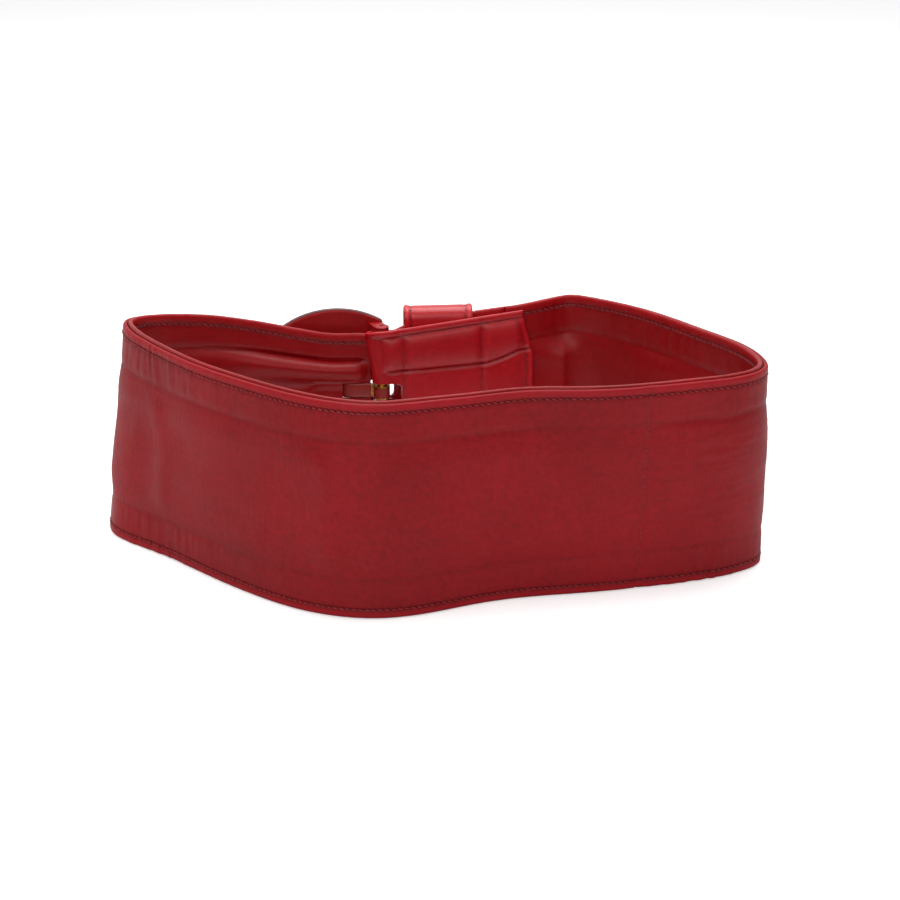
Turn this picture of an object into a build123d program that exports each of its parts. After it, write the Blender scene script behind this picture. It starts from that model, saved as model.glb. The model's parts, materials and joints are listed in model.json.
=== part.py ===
"""Wide leather waist belt, standing on its lower edge and buckled into a loop.

Millimetres, +Z up. The loop is drawn in plan and the closure (buckle, chape, tongue and
keeper) in a frame of its own, whose origin is the middle of the buckle bar: u runs along
the closure towards the tongue's tip, v points out of the loop and w is up. At the end
everything is moved so that the origin is the middle of the bounding box's base.
"""
from build123d import *
import math
import os

# ---- band -----------------------------------------------------------------------------
BAND_WIDTH = 100.0
LEATHER = 1.2  # outer leather and lining leather, each
WALL = 5.0  # outer leather, core and lining together
TAPE_WIDTH = 18.0  # stiffening tape along each edge
LINING_LIFT = 0.6  # the lining stops this much above the lower edge

# Outer face of the loop in plan, from the right end of the closure round the back.
OUTLINE = [
    (42.0, 173.0),
    (57.0, 177.2),
    (72.0, 172.0),
    (98.0, 150.0),
    (124.0, 115.5),
    (144.5, 82.0),
    (147.5, 62.0),
    (136.0, 50.5),
    (90.0, 35.0),
    (34.0, 22.5),
    (-10.0, 7.5),
    (-31.0, 2.0),
    (-53.0, 6.0),
    (-94.0, 35.0),
    (-141.0, 87.0),
    (-162.0, 117.0),
    (-158.0, 139.0),
    (-130.0, 155.0),
    (-112.0, 159.6),
]
SEAM_X = 90.0  # the upright seam that joins the two outer panels, on the near side
FAR_RIGHT_X = 10.0  # on the far side, the right panel is all that lies right of this
TAPE_END_X, TAPE_END_Y = 66.0, 116.0  # the tapes stop where the band begins to narrow
CURVE_STEPS = 60

# ---- closure --------------------------------------------------------------------------
BAR_AT = (-34.0, 160.0, 54.0)
CLOSURE_TURN = 5.0  # degrees, from +X towards +Y
BAR_R = 2.4
BAR_HALF = 33.7

STRAP = 2.0  # chape leather
FOLD_R = 5.0  # outside of the fold round the bar
CHAPE_END = 76.0
CHAPE_EDGE = [(-8, 30.8), (6.5, 31.0), (11, 33.5), (70, 41.0), (76, 18.0)]
CHAPE_HALF_END = 41.0
CHAPE_FRONT_END = 62.0  # where the outer run meets the right outer panel
SLOT_HALF = 7.0
SLOT_END = 9.0

TONGUE_IN, TONGUE_OUT = 5.4, 8.2
TONGUE_SKIN = 1.0
TONGUE_START = -32.0
TONGUE_TIP = 62.0
TONGUE_HALF = 28.0
HOLE_PITCH = 20.75
HOLE_LENGTH = 12.4
HOLE_HEIGHT = 10.0
HOLE_CORNER = 3.0

KEEPER_FROM, KEEPER_TO = 11.5, 45.5
KEEPER_HALF = 42.8
KEEPER_BACK, KEEPER_FRONT = -0.9, 11.4
KEEPER_SKIN = 1.2
KEEPER_LEG_END = 16.0

FRAME_HALF_U, FRAME_HALF_W = 43.0, 40.0
FRAME_AT_U = -22.5
FRAME_EDGE_U = 0.5
OPENING_HALF_U, OPENING_HALF_W = 32.0, 28.9
FRAME_BACK = 8.6
COVER = 1.0
FRAME_CORE = 2.5
LUG_FROM, LUG_TO = 31.2, 33.7
LUG_R = 3.6
LUG_LEAN = -6.5  # where the lug's left side meets the plate

PRONG_BRASS = 1.4
PRONG_WIDTH = 6.6
PRONG_SHEATH = 0.6
PRONG_RISE_AT = -11.0
PRONG_RUN = 25.0
PRONG_TIP = -63.0
SHEATH_START = -5.5  # the leather sheath stops short of the eye
RUNNING = 0.05  # radial clearance of the prong's eye on the bar
AIR = 0.3

BODIES = {}


def closure(shape):
    """Move a shape from the closure's own frame into the plan drawing."""
    return Location(BAR_AT, (0, 0, CLOSURE_TURN)) * shape


def closure_plan(u, v):
    """The plan point of a place in the closure's frame."""
    a = math.radians(CLOSURE_TURN)
    x = BAR_AT[0] + u * math.cos(a) - v * math.sin(a)
    y = BAR_AT[1] + u * math.sin(a) + v * math.cos(a)
    return (x, y)


def upright(face, low, high):
    """A plan face in u and v, extruded in w."""
    return extrude(Pos(0, 0, low) * face, amount=high - low)


def side_view(face, v_low, v_high):
    """A face drawn as (u, w) and extruded in v."""
    turned = Plane(origin=(0, v_low, 0), x_dir=(1, 0, 0), z_dir=(0, -1, 0)) * face
    return extrude(turned, amount=-(v_high - v_low))


def end_view(face, u_low, u_high):
    """A face drawn as (v, w) and extruded in u."""
    turned = Plane(origin=(u_low, 0, 0), x_dir=(0, 1, 0), z_dir=(1, 0, 0)) * face
    return extrude(turned, amount=u_high - u_low)


def area(*edges):
    """The flat face inside a closed run of edges."""
    return make_face(Curve() + list(edges))


# ---- the loop's layers ----------------------------------------------------------------
def loop_path():
    first = closure_plan(CHAPE_FRONT_END, FOLD_R)
    last = closure_plan(TONGUE_START, TONGUE_OUT)
    before = closure_plan(2 * TONGUE_START, TONGUE_OUT)
    heading = closure_plan(1, 0)
    start_tangent = (heading[0] - BAR_AT[0], heading[1] - BAR_AT[1])
    points = [first] + OUTLINE + [before, last]
    return Spline(*points, tangents=[start_tangent, start_tangent])


def inset_curve(path, inset):
    """The path moved into the loop by inset."""
    points = []
    for i in range(CURVE_STEPS + 1):
        here = path @ (i / CURVE_STEPS)
        along = path % (i / CURVE_STEPS)
        points.append((here.X + along.Y * inset, here.Y - along.X * inset))
    return Spline(*points)


def layer(path, depth_from, depth_to, low, high):
    """One layer of the wall: between two depths below the outer face."""
    outer = inset_curve(path, depth_from)
    inner = inset_curve(path, depth_to)
    ends = [Line(outer @ 0, inner @ 0), Line(outer @ 1, inner @ 1)]
    return upright(area(outer, inner, *ends), low, high)


def plan_box(x_low, x_high, y_low, y_high):
    size = (x_high - x_low, y_high - y_low, 4 * BAND_WIDTH)
    return Pos((x_low + x_high) / 2, (y_low + y_high) / 2, 0) * Box(*size)


def taper_blanks():
    """What the closure's two tapers take off the band, above and below."""
    far = (BAR_AT[1] - 55, BAR_AT[1] + 40)
    left_top = [(-160, 100), (-139, 97.5), (-117, 94.7), (-97, 90.4), (-80, 86.5), (-60, 82.6)]
    left_low = [(-160, 0), (-139, 3.5), (-117, 10.5), (-97, 17.6), (-80, 21.8), (-60, 25.4)]
    right_top = [(14, 93.5), (40, 97.5), (62, 100)]
    right_low = [(14, 14.5), (40, 8.5), (72, 0)]
    blanks = []
    for points, limit in ((left_top, 130), (right_top, 130), (left_low, -30), (right_low, -30)):
        corners = [(points[-1][0], limit), (points[0][0], limit)]
        edge = Spline(*points)
        face = area(edge, Polyline(points[-1], *corners, points[0]))
        blanks.append(side_view(face, *far))
    return blanks


def band_layers():
    path = loop_path()
    core_out, core_in = LEATHER, WALL - LEATHER
    core_low, core_high = LINING_LIFT, BAND_WIDTH - LINING_LIFT
    far_y = BAR_AT[1]
    right_side = plan_box(SEAM_X, 200, -20, 200) + plan_box(FAR_RIGHT_X, 200, far_y - 60, 200)
    full_height = plan_box(-200, 200, -20, TAPE_END_Y) + plan_box(TAPE_END_X, 200, 0, 200)
    blanks = taper_blanks()

    def tapered(solid):
        for blank in blanks:
            solid = solid - blank
        return solid

    outer = tapered(layer(path, 0, core_out, 0, BAND_WIDTH))
    BODIES["outer_right_panel"] = outer & right_side
    BODIES["outer_left_panel"] = outer - right_side
    lining = tapered(layer(path, core_in, WALL, LINING_LIFT, BAND_WIDTH))
    BODIES["lining_right_panel"] = lining & right_side
    BODIES["lining_left_panel"] = lining - right_side
    low_tape = layer(path, core_out, core_in, core_low, TAPE_WIDTH) & full_height
    high_tape = layer(path, core_out, core_in, BAND_WIDTH - TAPE_WIDTH, core_high) & full_height
    BODIES["bottom_edge_tape"] = low_tape
    BODIES["top_edge_tape"] = high_tape
    core = tapered(layer(path, core_out, core_in, core_low, core_high))
    BODIES["wadding"] = core - low_tape - high_tape


# ---- tongue ---------------------------------------------------------------------------
def tongue_outline(trim=0.0):
    half = TONGUE_HALF - trim
    shoulder = [(TONGUE_START, half + 0.8), (-20, half + 0.3), (-6, half)]
    start_cut = TONGUE_TIP - 17
    upper = Spline(*shoulder, tangents=[(1, -0.06), (1, 0)])
    top = Line(upper @ 1, (start_cut, half))
    tip = ThreePointArc((start_cut, half), (TONGUE_TIP - trim, 0), (start_cut, -half))
    back = Line((start_cut, -half), (-6, -half))
    lower = Spline(*[(u, -w) for u, w in reversed(shoulder)], tangents=[(-1, 0), (-1, -0.06)])
    close = Line(lower @ 1, upper @ 0)
    return area(upper, top, tip, back, lower, close)


def tongue_layer(v_low, v_high, trim=0.0):
    solid = side_view(tongue_outline(trim), v_low, v_high)
    for step in range(-1, 3):
        hole = RectangleRounded(HOLE_LENGTH, HOLE_HEIGHT, HOLE_CORNER)
        solid = solid - side_view(Pos(step * HOLE_PITCH, 0) * hole, v_low - 1, v_high + 1)
    return solid


def tongue():
    skin_in = TONGUE_IN + TONGUE_SKIN
    skin_out = TONGUE_OUT - TONGUE_SKIN
    BODIES["tongue_lining"] = closure(tongue_layer(TONGUE_IN, skin_in))
    BODIES["tongue_stiffener"] = closure(tongue_layer(skin_in, skin_out, trim=1.5))
    BODIES["tongue_outer"] = closure(tongue_layer(skin_out, TONGUE_OUT))


# ---- chape: the strap folded round the bar --------------------------------------------
def chape_profile():
    """The strap's section in plan: outer run, fold, and inner run leaning on the lining."""
    inside = FOLD_R - STRAP
    inner_end = -STRAP
    return area(
        Line((CHAPE_FRONT_END, FOLD_R), (0, FOLD_R)),
        ThreePointArc((0, FOLD_R), (-FOLD_R, 0), (0, -FOLD_R)),
        Polyline((0, -FOLD_R), (CHAPE_END, inner_end), (CHAPE_END, inner_end + STRAP - 0.1)),
        Line((CHAPE_END, inner_end + STRAP - 0.1), (0, -inside)),
        ThreePointArc((0, -inside), (-inside, 0), (0, inside)),
        Polyline((0, inside), (CHAPE_FRONT_END, inside), (CHAPE_FRONT_END, FOLD_R)),
    )


def chape_outline(trim=0.0):
    corners = [(u, w - trim) for u, w in CHAPE_EDGE]
    mirrored = [(u, -w) for u, w in reversed(corners)]
    return make_face(Polyline(*corners, *mirrored, close=True))


def chape():
    strap = upright(chape_profile(), -CHAPE_HALF_END - 1, CHAPE_HALF_END + 1)
    strap = strap & side_view(chape_outline(), -10, 10)
    slot = Pos(SLOT_END / 2 - 5, 0) * RectangleRounded(SLOT_END + 10, 2 * SLOT_HALF, 4)
    strap = strap - side_view(slot, -10, 10)
    BODIES["chape_strap"] = closure(strap)
    stiffener = side_view(chape_outline(trim=2.0), 1.6, FOLD_R - STRAP)
    trimmed = Pos(35, 0, 0) * Box(48, 20, 100)
    BODIES["chape_stiffener"] = closure(stiffener & trimmed)


# ---- keeper ---------------------------------------------------------------------------
def keeper_ring(depth_from, depth_to):
    """A rounded loop round the tongue, open at the back where its ends are sewn in."""
    middle = (KEEPER_BACK + KEEPER_FRONT) / 2
    deep = KEEPER_FRONT - KEEPER_BACK
    outside = RectangleRounded(deep - 2 * depth_from, 2 * (KEEPER_HALF - depth_from), 4 - depth_from)
    inside = RectangleRounded(deep - 2 * depth_to, 2 * (KEEPER_HALF - depth_to), 4 - depth_to)
    ring = end_view(Pos(middle, 0) * (outside - inside), KEEPER_FROM, KEEPER_TO)
    gap = Pos(30, KEEPER_BACK + 1, 0) * Box(60, 5, 2 * KEEPER_LEG_END)
    return ring - gap


def keeper():
    BODIES["keeper_outer"] = closure(keeper_ring(0, KEEPER_SKIN))
    BODIES["keeper_liner"] = closure(keeper_ring(KEEPER_SKIN, 2 * KEEPER_SKIN))


# ---- buckle ---------------------------------------------------------------------------
def frame_face():
    """The D-shaped plate: an oval cut straight beside the bar, with an opening for the strap."""
    oval = Pos(FRAME_AT_U, 0) * Ellipse(FRAME_HALF_U, FRAME_HALF_W)
    half = Pos(FRAME_EDGE_U - 50, 0) * Rectangle(100, 100)
    opening = Pos(FRAME_AT_U, 0) * Ellipse(OPENING_HALF_U, OPENING_HALF_W)
    opening = opening + Pos(FRAME_AT_U + 20, 0) * Rectangle(40, 2 * OPENING_HALF_W)
    return (oval & half) - opening


def lug_face(reach):
    """A lug's side: round about the bar, leaning back to the plate."""
    sides = Polyline((LUG_R, 0), (FRAME_EDGE_U, reach), (LUG_LEAN, reach), (-LUG_R, 0), close=True)
    return Circle(LUG_R) + make_face(sides) - Circle(BAR_R)


def buckle():
    core_from = FRAME_BACK + COVER
    core_to = core_from + FRAME_CORE
    plate = side_view(frame_face(), core_from, core_to)
    cover = side_view(frame_face(), FRAME_BACK, core_from)
    for low in (LUG_FROM, -LUG_TO):
        lug = upright(lug_face(core_from), low, low + LUG_TO - LUG_FROM)
        plate = plate + lug
        cover = cover - upright(lug_face(core_from), low - 0.1, low + LUG_TO - LUG_FROM + 0.1)
    BODIES["buckle_frame_core"] = closure(plate)
    BODIES["buckle_back_cover"] = closure(cover)
    BODIES["buckle_front_cover"] = closure(side_view(frame_face(), core_to, core_to + COVER))
    BODIES["buckle_bar"] = closure(Cylinder(BAR_R, 2 * BAR_HALF))


# ---- prong ----------------------------------------------------------------------------
def prong_side(eye, shift):
    """One face of the prong in plan: a straight root, an S bend and a straight tip."""
    rest_v = FRAME_BACK + 2 * COVER + FRAME_CORE + PRONG_SHEATH + PRONG_BRASS / 2 + AIR / 2
    turn = 2 * math.atan((rest_v - eye) / PRONG_RUN)
    radius = PRONG_RUN / (2 * math.sin(turn))
    bend_end = PRONG_RISE_AT - PRONG_RUN

    def on_first(angle):
        reach = radius - shift
        return (PRONG_RISE_AT - reach * math.sin(angle), eye + radius - reach * math.cos(angle))

    def on_second(angle):
        reach = radius + shift
        return (bend_end + reach * math.sin(angle), rest_v - radius + reach * math.cos(angle))

    return [
        Line((0, eye + shift), on_first(0)),
        ThreePointArc(on_first(0), on_first(turn / 2), on_first(turn)),
        ThreePointArc(on_first(turn), on_second(turn / 2), on_second(0)),
        Line(on_second(0), (PRONG_TIP, rest_v + shift)),
    ]


def prong_face(eye, thickness):
    inner = prong_side(eye, -thickness / 2)
    outer = prong_side(eye, thickness / 2)
    root = Line(inner[0] @ 0, outer[0] @ 0)
    tip = Line(inner[-1] @ 1, outer[-1] @ 1)
    return area(*inner, *outer, root, tip)


def prong():
    bore = BAR_R + RUNNING
    eye = bore + PRONG_BRASS / 2
    half = PRONG_WIDTH / 2
    ring = Circle(bore + PRONG_BRASS) - Circle(bore)
    brass = upright(ring, -half, half) + upright(prong_face(eye, PRONG_BRASS), -half, half)
    BODIES["prong_core"] = closure(brass)
    outside = half + PRONG_SHEATH
    sheath = upright(prong_face(eye, PRONG_BRASS + 2 * PRONG_SHEATH), -outside, outside)
    beyond_eye = Pos(SHEATH_START - 50, 0, 0) * Box(100, 100, 100)
    BODIES["prong_cover"] = closure((sheath - brass) & beyond_eye)


# ---- assembly -------------------------------------------------------------------------
def main():
    band_layers()
    tongue()
    chape()
    keeper()
    buckle()
    prong()
    box = Compound(list(BODIES.values())).bounding_box()
    middle = box.center()
    home = Pos(-middle.X, -middle.Y, -box.min.Z)
    os.makedirs("parts", exist_ok=True)
    for name, solid in BODIES.items():
        export_step(home * solid, f"parts/{name}.step")
    print("size", box.size)
    print("bar axis in the part's frame, mm:", BAR_AT[0] - middle.X, BAR_AT[1] - middle.Y)


main()
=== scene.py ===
"""Looks of the wide leather waist belt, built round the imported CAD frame.

Shapes are worked out in the part's drawing, in millimetres (X right, Y away from the camera,
Z up), and moved into the frame in metres by home(). The drawing's closure has a frame of its
own: u runs along the closure, v out of the loop and w up, from the middle of the buckle bar.
"""
import json
import math

import bpy
import numpy as np
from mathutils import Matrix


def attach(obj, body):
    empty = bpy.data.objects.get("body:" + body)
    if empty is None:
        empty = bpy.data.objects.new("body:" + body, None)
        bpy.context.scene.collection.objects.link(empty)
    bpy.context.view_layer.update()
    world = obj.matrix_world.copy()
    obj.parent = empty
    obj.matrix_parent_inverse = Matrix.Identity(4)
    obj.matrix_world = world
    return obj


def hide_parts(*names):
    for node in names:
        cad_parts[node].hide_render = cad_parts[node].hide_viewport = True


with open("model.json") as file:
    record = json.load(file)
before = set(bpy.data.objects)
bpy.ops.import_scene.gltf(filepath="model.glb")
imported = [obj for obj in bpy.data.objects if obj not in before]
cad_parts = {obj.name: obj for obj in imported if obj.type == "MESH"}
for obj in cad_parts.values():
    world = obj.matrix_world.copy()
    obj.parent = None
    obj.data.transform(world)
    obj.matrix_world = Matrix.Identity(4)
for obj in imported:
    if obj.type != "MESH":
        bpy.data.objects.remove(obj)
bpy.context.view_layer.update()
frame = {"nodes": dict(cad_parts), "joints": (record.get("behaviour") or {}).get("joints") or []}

MM = 0.001
DRAWN_BAR = np.array([-34.0, 160.0, 54.0])
SHIFT = np.array(frame["joints"][0]["pos_m"]) / MM - DRAWN_BAR
CLOSURE_TURN = math.radians(5.0)


def home(points):
    """Drawing millimetres to frame metres."""
    return (np.asarray(points, float) + SHIFT) * MM


def closure(u, v, w):
    """Closure coordinates to drawing coordinates, stacked on the last axis."""
    u, v, w = np.broadcast_arrays(*(np.asarray(a, float) for a in (u, v, w)))
    x = DRAWN_BAR[0] + u * math.cos(CLOSURE_TURN) - v * math.sin(CLOSURE_TURN)
    y = DRAWN_BAR[1] + u * math.sin(CLOSURE_TURN) + v * math.cos(CLOSURE_TURN)
    return np.stack([x, y, DRAWN_BAR[2] + w], -1)


def closure_way(u, v, w):
    """A direction in closure coordinates, turned to the drawing."""
    return closure(u, v, w) - closure(0, 0, 0)


# ---- camera ---------------------------------------------------------------------------
CAMERA_AT = (0.0, -982.7, 438.6)
CAMERA_PITCH = 20.0
CAMERA_LENS, CAMERA_SENSOR = 96, 36
camera = bpy.data.objects.new("camera", bpy.data.cameras.new("camera"))
bpy.context.scene.collection.objects.link(camera)
camera.data.lens = CAMERA_LENS
camera.data.sensor_width = CAMERA_SENSOR
camera.location = home(CAMERA_AT)
camera.rotation_euler = (math.radians(90 - CAMERA_PITCH), 0, 0)
bpy.context.scene.camera = camera


# ---- small maths ----------------------------------------------------------------------
def ease(start, end, x):
    """0 before start, 1 after end, smooth between."""
    t = np.clip((x - start) / (end - start), 0, 1)
    return t * t * (3 - 2 * t)


def hill(x, middle, width):
    """A smooth bump, 1 at its middle."""
    return np.exp(-(((x - middle) / width) ** 2))


def along(x, points):
    """Height of the broken line through points at x."""
    return np.interp(x, *zip(*points))


def run_length(points):
    """Distance from the first point to each point, along the line through them."""
    steps = np.linalg.norm(np.diff(points, axis=0), axis=1)
    return np.concatenate([[0], np.cumsum(steps)])


HASH_X, HASH_Y, HASH_SEED, HASH_SCALE = 127.1, 311.7, 74.7, 43758.5453


def noise(x, y, seed):
    """Smooth value noise from -1 to 1, the same each run."""
    x, y = np.broadcast_arrays(np.asarray(x, float), np.asarray(y, float))
    xi, yi = np.floor(x), np.floor(y)
    fx, fy = x - xi, y - yi
    fx, fy = fx * fx * (3 - 2 * fx), fy * fy * (3 - 2 * fy)

    def corner(i, j):
        value = np.sin((xi + i) * HASH_X + (yi + j) * HASH_Y + seed * HASH_SEED) * HASH_SCALE
        return 2 * (value - np.floor(value)) - 1

    low = corner(0, 0) * (1 - fx) + corner(1, 0) * fx
    high = corner(0, 1) * (1 - fx) + corner(1, 1) * fx
    return low * (1 - fy) + high * fy


def spline(knots, points, first, last, at):
    """Cubic spline through points, with given slopes at its ends."""
    knots, points = np.asarray(knots, float), np.asarray(points, float)
    gaps = np.diff(knots)
    count = len(knots)
    left, right = np.eye(count), np.zeros_like(points)
    right[0], right[-1] = first, last
    rates = np.diff(points, axis=0) / gaps[:, None]
    for i in range(1, count - 1):
        before, after = 1 / gaps[i - 1], 1 / gaps[i]
        left[i, i - 1 : i + 2] = before, 2 * (before + after), after
        right[i] = 3 * (rates[i - 1] * before + rates[i] * after)
    slopes = np.linalg.solve(left, right)
    i = np.clip(np.searchsorted(knots, at, "right") - 1, 0, count - 2)
    gap = gaps[i][:, None]
    t = ((at - knots[i]) / gaps[i])[:, None]
    return (
        (2 * t**3 - 3 * t**2 + 1) * points[i]
        + (t**3 - 2 * t**2 + t) * gap * slopes[i]
        + (3 * t**2 - 2 * t**3) * points[i + 1]
        + (t**3 - t**2) * gap * slopes[i + 1]
    )


# ---- meshes ---------------------------------------------------------------------------
SHARP_ANGLE = 40
RIM_LEAST = 0.35


def make_object(name, verts, faces, mat, body, attributes=()):
    """A mesh object from drawing millimetres, riding on its body."""
    mesh = bpy.data.meshes.new(name)
    mesh.from_pydata(home(verts).tolist(), [], [list(f) for f in faces])
    for key, kind, values in attributes:
        layer = mesh.attributes.new(key, kind, "POINT")
        field = "vector" if kind == "FLOAT_VECTOR" else "value"
        layer.data.foreach_set(field, np.asarray(values, np.float32).ravel())
    mesh.polygons.foreach_set("use_smooth", [True] * len(mesh.polygons))
    mesh.set_sharp_from_angle(angle=math.radians(SHARP_ANGLE))
    mesh.materials.append(mat)
    obj = bpy.data.objects.new(name, mesh)
    bpy.context.scene.collection.objects.link(obj)
    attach(obj, body)
    return obj


def closed_faces(cells, count):
    """The cells, their backs count points later, and a wall round every border."""
    cells = cells.reshape(-1, 4)
    starts, ends = cells.ravel(), np.roll(cells, -1, axis=1).ravel()
    border = ~np.isin(starts * count + ends, ends * count + starts)
    a, b = starts[border], ends[border]
    sides = np.stack([b, a, a + count, b + count], -1)
    return np.concatenate([cells, cells[:, ::-1] + count, sides])


def shell(name, grid, half, mat, body, flat=None, shade=None, keep=None):
    """A closed sheet: the grid's surface thickened by half on each side."""
    rows, cols = grid.shape[:2]
    along = np.gradient(grid, axis=0)
    across = np.gradient(grid, axis=1)
    normal = np.cross(along, across)
    normal /= np.linalg.norm(normal, axis=-1, keepdims=True) + 1e-9
    thick = np.broadcast_to(np.asarray(half, float), (rows, cols))[..., None] * normal
    count = rows * cols
    verts = np.concatenate([(grid + thick).reshape(-1, 3), (grid - thick).reshape(-1, 3)])
    index = np.arange(count).reshape(rows, cols)
    cells = np.stack([index[:-1, :-1], index[1:, :-1], index[1:, 1:], index[:-1, 1:]], -1)
    if keep is not None:
        cells = cells[keep]
    used, faces = np.unique(closed_faces(cells, count), return_inverse=True)
    faces = faces.reshape(-1, 4)
    shade = np.zeros((rows, cols)) if shade is None else np.broadcast_to(shade, (rows, cols))
    flat = grid if flat is None else flat
    both_shade = np.concatenate([shade.ravel(), shade.ravel()])[used]
    both_flat = np.concatenate([flat.reshape(-1, 3), flat.reshape(-1, 3)])[used]
    layers = [("shade", "FLOAT", both_shade), ("flat", "FLOAT_VECTOR", both_flat)]
    return make_object(name, verts[used], faces, mat, body, layers)


def rim(values, reach):
    """Half-thickness factor that rounds a sheet off within reach of both ends of values."""
    inset = np.minimum(values - values.min(), values.max() - values)
    t = np.clip(inset / reach, 0, 1)
    return RIM_LEAST + (1 - RIM_LEAST) * np.sqrt(1 - (1 - t) ** 2)


# Rings of one stitch: place along it in lengths, size in radii, and sink in mm.
THREAD_RINGS = [(-0.5, 0.35, -0.45), (-0.42, 0.85, -0.2), (-0.2, 1, 0),
                (0.2, 1, 0), (0.42, 0.85, -0.2), (0.5, 0.35, -0.45)]
THREAD_SIDES = 6


def thread(name, middles, heads, outs, body, length=3.0, radius=0.33, lean=0.1):
    """A row of sewn stitches: capsules whose ends dive into the leather."""
    verts, faces = [], []
    for middle, head, out in zip(middles, heads, outs):
        head = head / np.linalg.norm(head)
        out = out - head * (out @ head)
        out = out / np.linalg.norm(out)
        side = np.cross(head, out)
        head = head + lean * side
        first = len(verts)
        for place, size, sink in THREAD_RINGS:
            centre = middle + head * place * length + out * sink
            for k in range(THREAD_SIDES):
                angle = 2 * math.pi * k / THREAD_SIDES
                reach = out * math.cos(angle) + side * math.sin(angle)
                verts.append(centre + reach * size * radius)
        for ring in range(len(THREAD_RINGS) - 1):
            for k in range(THREAD_SIDES):
                a = first + ring * THREAD_SIDES + k
                b = first + ring * THREAD_SIDES + (k + 1) % THREAD_SIDES
                faces.append((a, b, b + THREAD_SIDES, a + THREAD_SIDES))
        last = first + (len(THREAD_RINGS) - 1) * THREAD_SIDES
        faces.append(tuple(first + k for k in reversed(range(THREAD_SIDES))))
        faces.append(tuple(last + k for k in range(THREAD_SIDES)))
    make_object(name, np.array(verts), faces, THREAD, body)


# ---- materials ------------------------------------------------------------------------
def linear(rgb):
    """sRGB 0-255 to linear."""
    c = np.array(rgb) / 255
    c = np.where(c <= 0.04045, c / 12.92, ((c + 0.055) / 1.055) ** 2.4)
    return (*c.tolist(), 1.0)


class Nodes:
    """Short hand for building the nodes of a material or a world."""

    def __init__(self, owner, shader="Principled BSDF"):
        owner.use_nodes = True
        self.owner, self.tree = owner, owner.node_tree
        self.shader = self.tree.nodes[shader]
        self.coords = self.add("ShaderNodeTexCoord").outputs
        self.place = self.coords["Object"]

    def feed(self, node, inputs):
        """Link each input that is a socket, and set each that is a value."""
        for key, value in dict(inputs).items():
            if isinstance(value, bpy.types.NodeSocket):
                self.tree.links.new(value, node.inputs[key])
            else:
                node.inputs[key].default_value = value
        return node

    def add(self, kind, inputs=(), **settings):
        node = self.tree.nodes.new(kind)
        for key, value in settings.items():
            setattr(node, key, value)
        return self.feed(node, inputs)

    def noise(self, scale, detail=3, place=None):
        at = self.place if place is None else place
        inputs = {"Vector": at, "Scale": scale, "Detail": detail}
        return self.add("ShaderNodeTexNoise", inputs).outputs["Fac"]

    def maths(self, operation, a, b):
        return self.add("ShaderNodeMath", {0: a, 1: b}, operation=operation).outputs[0]

    def span(self, value, low, high, to_low=0.0, to_high=1.0):
        inputs = {0: value, 1: low, 2: high, 3: to_low, 4: to_high}
        return self.add("ShaderNodeMapRange", inputs).outputs[0]

    def mix(self, factor, a, b, blend="MIX"):
        inputs = {0: factor, 6: a, 7: b}
        return self.add("ShaderNodeMix", inputs, data_type="RGBA", blend_type=blend).outputs[2]

    def stretched(self, scale):
        """The flat attribute, in mm along and up the leather, scaled for a wrinkle noise."""
        flat = self.add("ShaderNodeAttribute", attribute_name="flat").outputs["Vector"]
        return self.add("ShaderNodeMapping", {"Vector": flat, "Scale": scale}).outputs[0]

    def bump(self, height, strength, distance, under=None):
        inputs = {"Height": height, "Strength": strength, "Distance": distance}
        if under is not None:
            inputs["Normal"] = under
        return self.add("ShaderNodeBump", inputs).outputs[0]

    def finish(self, **inputs):
        self.feed(self.shader, {key.replace("_", " "): value for key, value in inputs.items()})
        return self.owner


# Wrinkle bump: scales along and up the leather, strength, and depth in metres.
SOFT_CREASES = ((0.45, 0.05, 1), (0.045, 0.5, 1), 0.25, 0.00012)
FINE_CREASES = ((0.5, 0.06, 1), (0.05, 0.6, 1), 0.5, 0.00022)
GRAIN_DEPTH = 0.00005
COAT_ROUGH = 0.32


def leather(name, light, dark, rough, gloss, grain=1300, creases=SOFT_CREASES, specular=0.5):
    """Grained, dyed leather: blotchy colour, pebble grain, fine pull wrinkles, painted shade and painted
    highlights.
    """
    n = Nodes(bpy.data.materials.new(name))
    patches = n.span(n.noise(16, 4), 0.32, 0.68)
    colour = n.mix(patches, linear(dark), linear(light))
    mottle = n.span(n.noise(420, 2), 0.3, 0.7, 0.86, 1.1)
    grey = n.add("ShaderNodeCombineColor", {i: mottle for i in range(3)}).outputs[0]
    colour = n.mix(1.0, colour, grey, "MULTIPLY")
    shade = n.add("ShaderNodeAttribute", attribute_name="shade").outputs["Fac"]
    # Painted shade where the shade attribute is above 0 (a darkened dark tone); painted highlight where it
    # is below 0 (ridge, a lightened light tone).
    painted_shade_colour, ridge = [c * 0.28 for c in dark], [min(255, c * 1.22 + 14) for c in light]
    colour = n.mix(n.span(shade, 0, 1), colour, linear(painted_shade_colour))
    colour = n.mix(n.span(shade, 0, -1), colour, linear(ridge))
    inputs = {"Vector": n.place, "Scale": grain}
    cells = n.add("ShaderNodeTexVoronoi", inputs, feature="DISTANCE_TO_EDGE")
    pebble = n.span(cells.outputs["Distance"], 0.0, 0.35)
    normal = n.bump(pebble, 0.35, GRAIN_DEPTH)
    normal = n.bump(n.noise(2600, 2), 0.25, GRAIN_DEPTH, normal)
    *scales, strength, reach = creases
    for scale in scales:
        normal = n.bump(n.noise(1, 4, n.stretched(scale)), strength, reach, normal)
    gloss_map = n.span(n.noise(60, 4), 0.3, 0.7, rough - 0.06, rough + 0.07)
    return n.finish(Base_Color=colour, Roughness=gloss_map, Normal=normal, Coat_Weight=gloss,
                    Coat_Roughness=COAT_ROUGH, Specular_IOR_Level=specular)


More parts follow.
